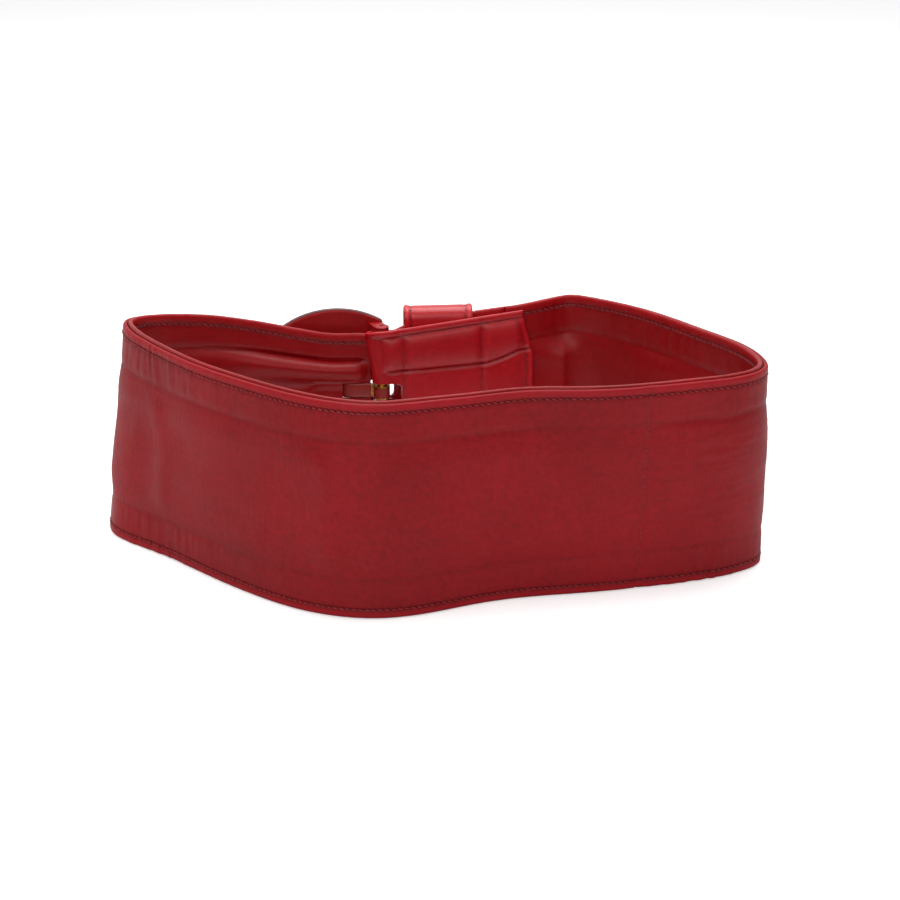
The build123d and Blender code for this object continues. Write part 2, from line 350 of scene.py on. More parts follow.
def plain(name, light, dark, rough, metallic=0.0, scale=900, depth=0.00003, stretch=None):
    """Thread, paint, tape, wadding or metal: two tones, fine surface noise."""
    n = Nodes(bpy.data.materials.new(name))
    place = n.place
    if stretch is not None:
        place = n.add("ShaderNodeMapping", {"Vector": n.place, "Scale": stretch}).outputs[0]
    colour = n.mix(n.span(n.noise(scale * 0.2, 4, place), 0.3, 0.7), linear(dark), linear(light))
    normal = n.bump(n.noise(scale, 3, place), 0.5, depth)
    rough_map = n.span(n.noise(scale * 0.3, 3, place), 0.3, 0.7, rough - 0.08, rough + 0.1)
    return n.finish(Base_Color=colour, Roughness=rough_map, Normal=normal, Metallic=metallic)


OUTER = leather("outer_leather", (146, 13, 23), (130, 8, 16), 0.5, 0.03, creases=FINE_CREASES,
                specular=0.18)
LINING = leather("lining_leather", (152, 6, 14), (134, 4, 10), 0.4, 0.06, specular=0.25)
# Lighter than the outer leather: the lighter tone is painted light, for the light from above on the chape.
STRAP_PAINTED_LIGHTER = leather("strap_leather", (178, 14, 27), (162, 9, 21), 0.36, 0.16, grain=1700, specular=0.35)
# The strap leather painted lighter still, with more gloss: a painted highlight on the keeper.
KEEPER_PAINTED_LIGHTER = leather("keeper_leather", (190, 18, 31), (182, 14, 27), 0.34, 0.22, grain=1700,
                 specular=0.45)
COVER = leather("cover_leather", (160, 5, 11), (144, 3, 8), 0.42, 0.08, grain=1700, specular=0.3)
PRONG = leather("prong_leather", (158, 30, 16), (128, 16, 8), 0.42, 0.15, grain=1700)
THREAD = plain("sewing_thread", (150, 12, 20), (104, 5, 11), 0.55, scale=3000)
PAINT = plain("edge_paint", (92, 14, 18), (58, 8, 12), 0.4, scale=1500)
TAPE = plain("stiffening_tape", (196, 188, 170), (168, 158, 140), 0.9, scale=1500)
WADDING = plain("wadding", (226, 222, 212), (200, 194, 182), 0.95, scale=700, depth=0.0003)
BRASS = plain("brass", (206, 166, 88), (170, 128, 58), 0.3, 1.0, 500, stretch=(1, 1, 12))
BOARD = plain("stiffener_board", (120, 84, 60), (92, 62, 42), 0.85, scale=1200)


def repaint(node, mat):
    """Give a CAD node that is shown as it is a material."""
    materials = frame["nodes"][node].data.materials
    materials.clear()
    materials.append(mat)


# ---- the wall -------------------------------------------------------------------------
# Outer face in plan (x, y at the floor, x, y at the top), from the closure's right end,
# down the right side, along the side nearest the camera and back to the closure's left end.
WALL_POINTS = [
    (42, 173, 42, 173), (57, 177.2, 58, 178), (72, 172, 72, 172), (98, 150, 98, 150),
    (124, 115.5, 124, 115.5), (144.2, 82, 143.2, 82), (146.4, 66, 145.2, 60),
    (135, 54, 135.5, 46.5), (114, 44, 114, 37), (90, 36.5, 90, 29.5), (60, 29.5, 60, 24.5),
    (34, 24.5, 34, 23.5), (12, 17, 12, 16.5), (-10, 6.5, -10, 9.5), (-31, 1, -31, 4.5),
    (-53, 4, -53, 9.5), (-94, 31, -94, 38.5), (-117, 54, -117, 61), (-142.5, 80, -140, 91),
    (-167.2, 114, -156.4, 121), (-158, 139, -156.5, 137), (-130, 155, -130, 155),
    (-112, 159.6, -112, 159.6),
]
WALL = 5.0
BAND_WIDTH = 100.0
TONGUE_START = -32.0
LINING_REACH = -5.6  # the lining runs on behind the chape's fold
EDGE_BAND = 18.0  # firm strip along each edge, with a crease beside it
LOW_CREASE, TOP_CREASE = EDGE_BAND, BAND_WIDTH - EDGE_BAND
STIFF_EDGE = 8.0  # the part of the edge band that keeps its width at the tapers
EDGE_SQUEEZE = 4.3
NARROWEST = 57.2
STITCH_INSET = 4.2
STITCH_PITCH = 3
WALL_SAMPLES = 3000
SMOOTHING = 30  # samples on each side


def closure_plan(u, v):
    return closure(u, v, 0)[:2]


def wall_curves():
    """Distance along the loop, plan positions at the floor and the top, and the way out."""
    first = closure_plan(62, 5)
    ends = [closure_plan(u, 8.2) for u in (-64, TONGUE_START, LINING_REACH)]
    low = np.array([first] + [p[:2] for p in WALL_POINTS] + ends, float)
    high = np.array([first] + [p[2:] for p in WALL_POINTS] + ends, float)
    knots = run_length((low + high) / 2)
    heading = np.array([math.cos(CLOSURE_TURN), math.sin(CLOSURE_TURN)])
    at = np.linspace(0, knots[-1], WALL_SAMPLES)
    low, high = (spline(knots, p, heading, heading, at) for p in (low, high))
    mean = (low + high) / 2
    tangent = np.gradient(mean, axis=0)
    tangent /= np.linalg.norm(tangent, axis=1, keepdims=True)
    return run_length(mean), low, high, np.stack([-tangent[:, 1], tangent[:, 0]], -1)


LENGTH, LOW, HIGH, OUT = wall_curves()


def at_place(s, curve):
    """A plan curve's value at places s along the loop."""
    return np.stack([np.interp(s, LENGTH, curve[:, k]) for k in (0, 1)], -1)


MEAN = (LOW + HIGH) / 2
RIGHTMOST = LENGTH[np.argmax(MEAN[:, 0])]
LEFTMOST = LENGTH[np.argmin(MEAN[:, 0])]
LINING_END = LENGTH[-1]
PANEL_END = LENGTH[-1] - (LINING_REACH - TONGUE_START)


def near_s(x):
    """Place along the loop where the near side passes x."""
    part = (LENGTH > RIGHTMOST) & (LENGTH < LEFTMOST)
    return float(np.interp(-x, -MEAN[part, 0], LENGTH[part]))


def far_right_s(x):
    """Place along the loop where the far side passes x, right of the closure."""
    part = LENGTH <= RIGHTMOST
    return float(np.interp(x, MEAN[part, 0], LENGTH[part]))


LEFT_TOP = [(-160, 100), (-139, 97.5), (-117, 94.7), (-97, 90.4), (-80, 86.5), (-60, 82.6)]
LEFT_LOW = [(-160, 0), (-139, 3.5), (-117, 10.5), (-97, 17.6), (-80, 21.8), (-60, 25.4)]
RIGHT_TOP = [(14, 93.5), (40, 97.5), (62, 100)]
RIGHT_LOW = [(14, 14.5), (40, 8.5), (72, 0)]


def band_edges():
    """Height of the band's two edges along the loop; the ends are tapered."""
    found = []
    for left, right, full in ((LEFT_TOP, RIGHT_TOP, BAND_WIDTH), (LEFT_LOW, RIGHT_LOW, 0.0)):
        x = MEAN[:, 0]
        right_part = np.where(LENGTH < RIGHTMOST, along(x, right), full)
        edge = np.where(LENGTH > LEFTMOST, along(x, left), right_part)
        window = 2 * SMOOTHING + 1
        longer = np.pad(edge, SMOOTHING, mode="edge")
        found.append(np.convolve(longer, np.ones(window) / window, "valid"))
    return found


TOP_EDGE, LOW_EDGE = band_edges()


def taper(s):
    """0 where the band is full width, 1 where it is narrowest."""
    width = np.interp(s, LENGTH, TOP_EDGE) - np.interp(s, LENGTH, LOW_EDGE)
    return (BAND_WIDTH - width) / (BAND_WIDTH - NARROWEST)


def gather(s, gain=1.0):
    """0 to 1: how far the left end is gathered towards the closure."""
    return np.clip(taper(s) * gain, 0, 1) * (s > LEFTMOST)


def height(s, z):
    """Where a height across the flat band comes to, with the middle gathered at the tapers."""
    top, low = np.interp(s, LENGTH, TOP_EDGE), np.interp(s, LENGTH, LOW_EDGE)
    edge = EDGE_BAND - EDGE_SQUEEZE * gather(s)
    t = (z - LOW_CREASE) / (TOP_CREASE - LOW_CREASE)
    middle = (low + edge) * (1 - t) + (top - edge) * t
    squeeze = (edge - STIFF_EDGE) / (EDGE_BAND - STIFF_EDGE)
    from_top = BAND_WIDTH - z
    above = top - np.where(from_top < STIFF_EDGE, from_top, STIFF_EDGE + (from_top - STIFF_EDGE) * squeeze)
    below = low + np.where(z < STIFF_EDGE, z, STIFF_EDGE + (z - STIFF_EDGE) * squeeze)
    return np.where(z >= TOP_CREASE, above, np.where(z <= LOW_CREASE, below, middle))


def pleats(z, power):
    """Three rounded folds side by side across the band's middle, 0 to 1."""
    inside = (z > LOW_CREASE) & (z < TOP_CREASE)
    turn = 3 * np.pi * (z - LOW_CREASE) / (TOP_CREASE - LOW_CREASE)
    return np.abs(np.sin(turn)) ** power * inside


def edge_bands(z):
    """1 in the two firm edge bands, 0 between them."""
    return 1 - ease(14, 19, np.minimum(z, BAND_WIDTH - z))


def crease_pair(z, width):
    return hill(z, TOP_CREASE, width) + hill(z, LOW_CREASE, width)


def bend_wrinkles(s, z):
    """Fine upright wrinkles in the edge bands, deepest at the two bends."""
    depth = 0.25 + 1.2 * hill(s, near_s(-138), 30) + 2.4 * hill(s, near_s(122), 26) * (z < 50)
    depth = depth + 0.5 * hill(s, near_s(125), 30)
    return 0.22 * edge_bands(z) * depth * noise(s / 2.4, z / 14, 7)


def right_wrinkles(s, z, inside):
    """Lengthwise wrinkles and a wandering crease towards the right bend."""
    right = hill(s, near_s(118), 36)
    wrinkles = 0.36 * inside * right * noise(s / 16 + z / 40, z / 1.9, 11)
    return wrinkles - 0.5 * right * hill(z, 81 + noise(s / 14, 0, 15), 1.6)


def near_waves(s, z, inside):
    """Slow waves of the near side, with an upright ridge by the left bend."""
    ridge = near_s(-137) + (z - 50) * 0.1 + 3 * np.cos(z / 16)
    waves = 0.5 * noise(s / 28, z / 20, 13) + 0.7 * hill(s, ridge, 6.5)
    return inside * (waves + 2.2 * hill(s, near_s(-52), 9) - 1.3 * hill(s, near_s(-78), 16))


def outer_swell(s, z):
    """How far the outer leather stands out from its plain face, in mm."""
    inside = ease(LOW_CREASE, 31, z) * (1 - ease(69, TOP_CREASE, z))
    swell = 1.5 * inside * (0.75 + 0.5 * noise(s / 60, z / 60, 3))
    swell -= 0.6 * crease_pair(z, 1.5) * (0.75 + 0.5 * noise(s / 25, 0, 5))
    swell += bend_wrinkles(s, z)
    swell *= 1 - 0.55 * hill(s, near_s(143), 26)
    swell += right_wrinkles(s, z, inside) + near_waves(s, z, inside)
    seam = np.abs(s - SEAM_S)
    swell -= 0.75 * np.exp(-seam / 1.3) + 0.25 * hill(seam, 0, 7)
    loose = 1 - ease(PANEL_END - 34, PANEL_END - 4, s)
    return swell + gather(s) * (pleats(z, 0.6) - 0.5) * loose


def chape_fold(s, z):
    """The upright fold of the lining beside the chape, and the hollow next to it."""
    fold = hill(s, far_right_s(56), 10) * ease(28, 50, z) * (1 - ease(68, 80, z))
    hollow = hill(s, far_right_s(75), 10) * ease(20, 40, z) * (1 - ease(80, 95, z))
    return 4.2 * fold - 1.0 * hollow


def lining_swell(s, z):
    """How far the lining stands into the loop from its plain face, in mm."""
    inside = ease(LOW_CREASE, 27, z) * (1 - ease(73, TOP_CREASE, z))
    swell = 1.0 * inside * (0.7 + 0.6 * noise(s / 45, z / 40, 21))
    swell += 0.7 * inside * noise(s / 24, z / 15, 23)
    swell -= 0.45 * crease_pair(z, 1.6)
    swell += 0.15 * edge_bands(z) * noise(s / 2.8, z / 16, 27)
    gathered = gather(s, 1.15)
    over_prong = hill(z, 50, 9) * ease(LINING_END - 34, LINING_END - 24, s)
    swell += 3.2 * gathered * (pleats(z, 0.55) - 0.35) * (1 - over_prong)
    swell -= 1.8 * gathered * crease_pair(z, 2.2)
    swell = swell * (1 - 0.9 * ease(LINING_END - 7, LINING_END - 1, s))
    return swell + chape_fold(s, z)


SEAM_S = near_s(90)
SEAM_LEAN, SEAM_REACH = 4.2, 60  # the seam's slant, and how far beside it that fades out


def wall(s, z, depth, swollen=True):
    """Drawing position of a point in the wall: along, across, and below the outer face."""
    s, z, depth = np.broadcast_arrays(*(np.asarray(a, float) for a in (s, z, depth)))
    flat_s = s
    s = s + SEAM_LEAN * (1 - z / BAND_WIDTH) * hill(s, SEAM_S, SEAM_REACH)
    real = height(s, z)
    t = (real / BAND_WIDTH)[..., None]
    low, high, out = (at_place(s, curve) for curve in (LOW, HIGH, OUT))
    inward = depth
    if swollen:
        inward = inward - outer_swell(flat_s, z) * (1 - ease(1.2, 2.3, depth))
        inward = inward + lining_swell(flat_s, z) * ease(2.7, 3.9, depth)
    plan = low * (1 - t) + high * t - out * inward[..., None]
    return np.concatenate([plan, real[..., None]], -1)


HEMS = (7.5, 5.0, 3.2, 1.3)  # stations of a turned-in hem, from the panel's edge
EDGE_TURN, EDGE_ROUND = 1.3, 0.9


def face_rows(top, low):
    """Heights down a panel's face, close together at the two stitch rows."""
    marks = [top - 1.3, top - 2.2, top - 3.1]
    marks += [BAND_WIDTH - STITCH_INSET + k for k in (0.45, 0, -0.45, -1.1)]
    marks += np.linspace(BAND_WIDTH - 6.6, 6.6, 66).tolist()
    marks += [STITCH_INSET + k for k in (1.1, 0.45, 0, -0.45)]
    return marks + [low + 3.1, low + 2.2, low + 1.3]


def turned_section(face, hem, top, low):
    """Centre line of a panel turned in at both edges: (height, depth) from hem to hem."""
    middle, reach = (face + hem) / 2, (hem - face) / 2
    turns = np.linspace(0, math.pi, 7)[1:-1]
    bend = [(EDGE_TURN - EDGE_ROUND * math.sin(a), reach * math.cos(a)) for a in turns]
    section = [(top - h, hem) for h in HEMS]
    section += [(top - rise, middle + depth) for rise, depth in bend]
    groove = 0.32 * math.copysign(1, reach)
    for z in face_rows(top, low):
        sunk = hill(z, BAND_WIDTH - STITCH_INSET, 0.75) + hill(z, STITCH_INSET, 0.75)
        section.append((z, face + groove * sunk))
    section += [(low + rise, middle - depth) for rise, depth in bend]
    section += [(low + h, hem) for h in reversed(HEMS)]
    return np.array(section)


def stations(start, end):
    """Whole millimetres along the loop between two places, with both places."""
    inner = np.arange(math.ceil(start + 0.4), math.floor(end - 0.4) + 1)
    return np.concatenate([[start], inner, [end]])


def from_stitches(z):
    """Height between z and the nearer row of stitches."""
    return np.minimum(np.abs(z - STITCH_INSET), np.abs(z - BAND_WIDTH + STITCH_INSET))


def stitch_pits(s, z):
    """1 at the needle holes, which lie midway between the stitches."""
    return ((s % STITCH_PITCH) < 0.3) * (from_stitches(z) < 0.3)


def panel(name, start, end, face, hem, top, low, mat, keep=None):
    """One leather of the wall between two places, with both edges turned in."""
    section = turned_section(face, hem, top, low)
    s = stations(start, end)[:, None]
    z, depth = section[:, 0][None, :], section[:, 1][None, :]
    on_face = np.abs(depth - face) < 0.5
    pits = stitch_pits(s, z) * on_face
    grid = wall(s, z, depth + 0.3 * math.copysign(1, hem - face) * pits)
    # Painted shade in the needle holes, the stitch channels and the creases, and a painted highlight on the
    # beads along both edges.
    channel = hill(from_stitches(z), 0, 0.8)
    crease = hill(np.minimum(np.abs(z - LOW_CREASE), np.abs(z - TOP_CREASE)), 0, 1.2)
    bead = hill(z, top - 1.6, 1.4) + hill(z, low + 1.6, 1.4)
    shade = on_face * (1.0 * pits + 0.5 * channel + 0.12 * crease - 0.3 * bead) + 0 * s
    flat = np.stack(np.broadcast_arrays(s, z, 0 * s), -1)
    return shell(name, grid, PANEL_HALF, mat, "belt", flat, shade, keep)


def stitch_row(name, start, end, z, depth):
    """Stitches along the band at one height, on the face at depth."""
    first = math.ceil((start + 1) / STITCH_PITCH) * STITCH_PITCH
    s = np.arange(first + STITCH_PITCH / 2, end - 1, STITCH_PITCH)
    here = wall(s, z, depth)
    heads = wall(s + 1, z, depth) - wall(s - 1, z, depth)
    outs = np.column_stack([at_place(s, OUT), 0 * s]) * (1 if depth < WALL / 2 else -1)
    thread(name, here, heads, outs, "belt", 2.5, 0.4, 0.2)


PANEL_HALF = 0.42
OUTER_FACE, OUTER_HEM = 0.45, 2.0
LINING_FACE, LINING_HEM = 4.55, 3.0
LINING_TOP, LINING_LOW = 100.8, 0.6
SLIT_REACH, SLIT_HALF = 14.4, 4.2  # in the lining's end, round the prong's eye
TAPES = (("top", 83.5, 98), ("bottom", 2, 16.5))
CORE_STEP = 2.5
WADDING_NEAR, WADDING_DEEP = 1.1, 3.9


def beside_slit(start, end):
    """The cells of the left lining that stay, round the slit in its end."""
    s = stations(start, end)
    z = turned_section(LINING_FACE, LINING_HEM, LINING_TOP, LINING_LOW)[:, 0]
    real = height(LINING_END, z) - DRAWN_BAR[2]
    slit = (np.abs(real[:-1]) < SLIT_HALF) & (np.abs(real[1:]) < SLIT_HALF)
    return ~((s[:-1, None] > LINING_END - SLIT_REACH) & slit[None, :])


def band():
    """The wall's two outer leathers and two lining leathers, with their stitches."""
    for side, start, end in (("right", 0.0, SEAM_S), ("left", SEAM_S, PANEL_END)):
        name = f"outer_{side}_leather"
        piece = panel(name, start, end, OUTER_FACE, OUTER_HEM, BAND_WIDTH, 0.0, OUTER)
        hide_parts(f"outer_{side}_panel")
        for edge, z in (("top", BAND_WIDTH - STITCH_INSET), ("bottom", STITCH_INSET)):
            stitch_row(f"outer_{side}_{edge}_stitches", start, end, z, 0.0)
    for side, start, end in (("right", 0.0, SEAM_S), ("left", SEAM_S, LINING_END)):
        keep = beside_slit(start, end) if side == "left" else None
        piece = panel(f"lining_{side}_leather", start, end, LINING_FACE, LINING_HEM,
                      LINING_TOP, LINING_LOW, LINING, keep)
        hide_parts(f"lining_{side}_panel")
        for edge, z in (("top", BAND_WIDTH - STITCH_INSET), ("bottom", STITCH_INSET)):
            stitch_row(f"lining_{side}_{edge}_stitches", start, end, z, WALL)


def core():
    """The tapes in the two edges and the wadding between them."""
    s = np.arange(far_right_s(66), LEFTMOST + 4, CORE_STEP)[:, None]
    for edge, low, high in TAPES:
        grid = wall(s, np.linspace(low, high, 9)[None, :], WALL / 2)
        piece = shell(f"{edge}_stiffening_tape", grid, 0.15, TAPE, "belt")
        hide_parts(f"{edge}_edge_tape")
    s = np.arange(2, PANEL_END - 2, CORE_STEP)[:, None]
    z = np.linspace(21, 79, 32)[None, :]
    near, deep = WADDING_NEAR - outer_swell(s, z), WADDING_DEEP + lining_swell(s, z)
    grid = wall(s, z, (near + deep) / 2, swollen=False)
    half = np.clip((deep - near) / 2 - 0.15, 0.15, 2.5)
    piece = shell("wadding_sheet", grid, half, WADDING, "belt")
    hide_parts("wadding")


def upright_seam():
    """Stitches down the seam between the two outer panels."""
    z = np.arange(5.5, 96, STITCH_PITCH * 0.85)
    here = wall(SEAM_S, z, 0.15)
    out = np.append(at_place(SEAM_S, OUT), 0)
    heads = np.tile([0.0, 0.0, 1.0], (len(z), 1))
    outs = np.tile(out, (len(z), 1))
    thread("upright_seam_stitches", here, heads, outs, "belt", length=2.6)


# ---- chape ----------------------------------------------------------------------------
CHAPE_OUTLINE = [(-12, 31.2), (-7, 31.4), (0, 33.0), (11, 33.9), (70, 41.2), (78, 41.8)]
CHAPE_END, WIDEST_HALF = 76.0, 41
OUTER_RUN_TOP = [(0, 31), (6.5, 31), (11, 33.2), (40, 36.5), (46, 39.8), (62, 41.7)]
OUTER_RUN_LOW = [(0, 31), (6.5, 31), (11, 33.2), (62, 40)]
CHAPE_CREASE = [(-12, 10.5), (10, 12), (35, 13.5), (52, 14.5), (60, 17), (68, 20.5), (78, 21.5)]
CHAPE_ROWS = (10.6, 49.8)
CHAPE_HALF = 1.0
CHAPE_STITCH_INSET = 3.6
FOLD_MIDDLE, FOLD_HALF = 4.0, 31  # the fold's radius and half its height
FOLD_LENGTH = math.pi * FOLD_MIDDLE
SLOT_HALF, SLOT_END, OUTER_SLOT_END = 5.4, 9.0, 6.9
SLOT_AT_HALF = 33  # the chape's half height beside the slot


def chape_half(u):
    return along(u, CHAPE_OUTLINE)


def chape_puff(u, w):
    """How far the chape's back face is puffed towards the inside of the loop."""
    half = chape_half(u)
    crease = along(u, CHAPE_CREASE)
    top = half - 4.5
    t = np.clip((w - crease) / (top - crease), 0, 1)
    upper = 1.9 * (4 * t * (1 - t)) ** 0.55
    b = np.clip((crease - w) / (crease + top), 0, 1)
    lower = 0.9 * (4 * b * (1 - b)) ** 0.4
    rows = sum(hill(u, row, 2.0) for row in CHAPE_ROWS)
    ends = ease(-2, 5, u) * (1 - ease(66, 72, u))
    lines = hill(np.abs(w), half - 3.6, 0.9)
    bead = hill(np.abs(w), half - 1.4, 1.3)
    puff = (upper + lower) * (1 - 0.85 * np.clip(rows, 0, 1)) * ends
    return puff - 0.5 * lines + 0.3 * bead - 1.3 * hill(w, crease, 1.1) * ease(0, 6, u)


def chape_end(w):
    """Where the chape's free end lies at each height."""
    return CHAPE_END - 5.5 * ease(14, 41, np.abs(w))


def chape_point(p, w):
    """p runs from the outer run's end (-62), round the fold (0) and along the inner run."""
    flare = 1 + 0.85 * ease(6, FOLD_HALF, np.abs(w))
    on_outer, on_inner = p < 0, p > FOLD_LENGTH
    angle = np.clip(p, 0, FOLD_LENGTH) / FOLD_MIDDLE
    inner_u = np.where(on_inner, p - FOLD_LENGTH, -FOLD_MIDDLE * flare * np.sin(angle))
    u = np.where(on_outer, -p, inner_u)
    back = -FOLD_MIDDLE + 3.0 * u / CHAPE_END - chape_puff(u, w)
    pinch = 1.1 * ease(FOLD_HALF - 2, FOLD_HALF, np.abs(w))
    back = back - pinch * (1 - ease(5, 9, u))
    bend = FOLD_MIDDLE * np.cos(angle) - pinch * ease(1.8, 3, angle)
    v = np.where(on_outer, FOLD_MIDDLE, np.where(on_inner, back, bend))
    return closure(u, v, w), u


def chape_stations():
    """Rows p along the strap, as in chape_point, and columns t across it from -1 to 1."""
    lead = np.concatenate([[-62, -61.6, -61], np.arange(-59, -12, 3.0), np.arange(-11, 0, 1.0)])
    share = np.concatenate([np.linspace(0, 0.96, 78)[1:], [0.972, 0.984, 0.992, 1.0]])
    t = np.concatenate([[-1, -0.994, -0.985], np.linspace(-0.97, 0.97, 83), [0.985, 0.994, 1]])
    t = np.sort(np.concatenate([t, [-SLOT_HALF / SLOT_AT_HALF, SLOT_HALF / SLOT_AT_HALF]]))
    before = np.concatenate([lead, np.linspace(0, FOLD_LENGTH, 17)])[:, None] + 0 * t[None, :]
    return np.concatenate([before, FOLD_LENGTH + share[:, None] * chape_end(t * WIDEST_HALF)]), t


def chape_heights(p, u, t):
    """Heights of the grid's points: the fold is narrower than the runs on both sides of it."""
    fold_half = FOLD_HALF + 2 * ease(0.5 * FOLD_LENGTH, FOLD_LENGTH, p)
    half = np.where(p < FOLD_LENGTH, fold_half, chape_half(u))
    half = np.where((p < 0) & (t > 0), along(u, OUTER_RUN_TOP), half)
    half = np.where((p < 0) & (t < 0), along(u, OUTER_RUN_LOW), half)
    return t * half


def chape_slot(p, u, t):
    """The cells that the prong's slot takes out of the two runs and the fold."""
    inside = np.abs(t) <= SLOT_HALF / SLOT_AT_HALF + 1e-6
    reach = SLOT_END - 3.0 * np.abs(t[:-1] * SLOT_AT_HALF / SLOT_HALF).clip(0, 1) ** 4
    reach = np.where(p[:-1, :-1] < 0, OUTER_SLOT_END, reach[None, :])
    return (inside[:-1] & inside[1:])[None, :] & (u[:-1, :-1] < reach)


def chape_shade(p, u, real_u, w):
    """Painted shade in the stitch channels, the stitch rows and the crease, and a lighter painted highlight
    along the rounded edge.
    """
    on_inner = p > FOLD_LENGTH
    from_end = np.where(on_inner, FOLD_LENGTH + chape_end(w) - p, 50)
    inset = np.minimum(chape_half(u) - np.abs(w), from_end)
    rows = sum(hill(real_u, row, 0.9) for row in CHAPE_ROWS) * on_inner
    shade = 0.35 * hill(inset, 3.6, 0.8) + 0.25 * rows - 0.28 * hill(inset, 1.2, 1.0)
    return shade + 0.5 * hill(w, along(u, CHAPE_CREASE), 0.9) * ease(1, 6, u) * on_inner


def chape():
    """The strap that is folded round the buckle's bar, with the prong's slot in the fold."""
    p, t = chape_stations()
    u = np.where(p < 0, -p, np.where(p > FOLD_LENGTH, p - FOLD_LENGTH, 0))
    w = chape_heights(p, u, t[None, :])
    grid, real_u = chape_point(p, w)
    half = CHAPE_HALF * rim(t, 0.03)[None, :] * rim(p[:, 0], 1.2)[:, None]
    flat = np.stack([real_u, w, 0 * w], -1)
    piece = shell("chape_leather", grid, half, STRAP_PAINTED_LIGHTER, "belt", flat,
                  chape_shade(p, u, real_u, w), ~chape_slot(p, u, t))
    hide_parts("chape_strap")
    chape_stitches()


def chape_stitches():
    """Stitches near the chape's edges and beside the keeper, on the side inside the loop."""
    spots = []
    for u in np.arange(1, 71, 3.4):
        for sign in (1, -1):
            spots.append((u, sign * (chape_half(u) - CHAPE_STITCH_INSET), (1, sign * 0.12)))
    for w in np.arange(-34, 35, 3.4):
        spots.append((chape_end(w) - CHAPE_STITCH_INSET, w, (0, 1)))
    for row in CHAPE_ROWS:
        for w in np.arange(-27, 30, 3.2):
            if not (row < 20 and abs(w) < SLOT_HALF + 2):
                spots.append((row, w, (0, 1)))
    back = closure_way(0, -1, 0)
    middles, heads = [], []
    for u, w, (du, dw) in spots:
        here = chape_point(np.array(FOLD_LENGTH + u), np.array(w))[0]
        ahead = chape_point(np.array(FOLD_LENGTH + u + du), np.array(w + dw))[0]
        middles.append(here + back * (CHAPE_HALF + 0.02))
        heads.append(ahead - here)
    outs = np.tile(back, (len(spots), 1))
    thread("chape_stitches", middles, heads, outs, "belt", 2.4, 0.3)


# ---- keeper ---------------------------------------------------------------------------
KEEPER_FROM, KEEPER_TO = 11.5, 45.5
KEEPER_HALF, KEEPER_BACK, KEEPER_FRONT = 42.8, -0.9, 11.4
KEEPER_LEG, KEEPER_CORNER = 16.0, 5.9
KEEPER_SKIN = 0.6  # depth of the outer leather's middle below the keeper's face
KEEPER_STITCH_INSET = 3.2


def ring_path(inset):
    """Points and outward normals round the keeper, in v and w, from leg to leg."""
    radius = KEEPER_CORNER - inset
    high = KEEPER_HALF - KEEPER_CORNER
    back, front = KEEPER_BACK + KEEPER_CORNER, KEEPER_FRONT - KEEPER_CORNER
    centres = [(back, high, 180), (front, high, 90), (front, -high, 0), (back, -high, -90)]
    points = [(KEEPER_BACK + inset, w) for w in np.linspace(KEEPER_LEG, high, 12)[:-1]]
    for v, w, start in centres:
        for a in np.radians(np.linspace(start, start - 90, 8)):
            points.append((v + radius * math.cos(a), w + radius * math.sin(a)))
        if (v, w) == (front, high):
            points += [(KEEPER_FRONT - inset, k) for k in np.linspace(high, -high, 40)[1:-1]]
    points += [(KEEPER_BACK + inset, -w) for w in np.linspace(high, KEEPER_LEG, 12)[1:]]
    points = np.array(points)
    tangent = np.gradient(points, axis=0)
    normal = np.stack([-tangent[:, 1], tangent[:, 0]], -1)
    return points, normal / np.linalg.norm(normal, axis=1, keepdims=True)


def keeper():
    """The loop that holds the strap end: an outer leather, its liner and two rows of stitches."""
    edge = np.array([0, 0.25, 0.7])
    width = KEEPER_TO - KEEPER_FROM
    u = np.concatenate([edge, np.linspace(1.2, width - 1.2, 44), width - edge[::-1]]) + KEEPER_FROM
    inset = np.minimum(u - KEEPER_FROM, KEEPER_TO - u)
    channel = hill(inset, KEEPER_STITCH_INSET, 0.7)
    bead = 0.45 * hill(inset, 1.3, 1.1) - 0.3 * channel
    # Painted shade in the stitch channels and a painted highlight near both edges.
    shade = 0.35 * channel - 0.3 * hill(inset, 1.2, 1.0)
    for name, depth, half, swell, mat, slot in (
        ("keeper_leather", KEEPER_SKIN, 0.52, bead, KEEPER_PAINTED_LIGHTER, "strap_leather"),
        ("keeper_lining", 1.75, 0.5, 0 * bead, LINING, "lining_leather"),
    ):
        points, normal = ring_path(depth)
        at = points[:, None, :] + normal[:, None, :] * swell[None, :, None]
        grid = closure(u[None, :], at[..., 0], at[..., 1])
        flat = np.stack([u[None, :] + 0 * at[..., 0], at[..., 1], at[..., 0]], -1)
        thin = half * rim(u, 0.7)[None, :]
        piece = shell(name, grid, thin, mat, "belt", flat, shade[None, :])
        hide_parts("keeper_outer" if swell.any() else "keeper_liner")
    keeper_stitches()


def keeper_stitches():
    points, normal = ring_path(KEEPER_SKIN)
    run = run_length(points)
    at = np.arange(2, run[-1] - 1, 3.4)
    v, w = (np.interp(at, run, points[:, k]) for k in (0, 1))
    nv, nw = (np.interp(at, run, normal[:, k]) for k in (0, 1))
    middles, heads, outs = [], [], []
    for edge in (KEEPER_FROM + KEEPER_STITCH_INSET, KEEPER_TO - KEEPER_STITCH_INSET):
        middles += list(closure(edge, v + nv * 0.28, w + nw * 0.28))
        heads += list(closure_way(0, -nw, nv))
        outs += list(closure_way(0, nv, nw))
    thread("keeper_stitches", middles, heads, outs, "belt", 2.4, 0.3)


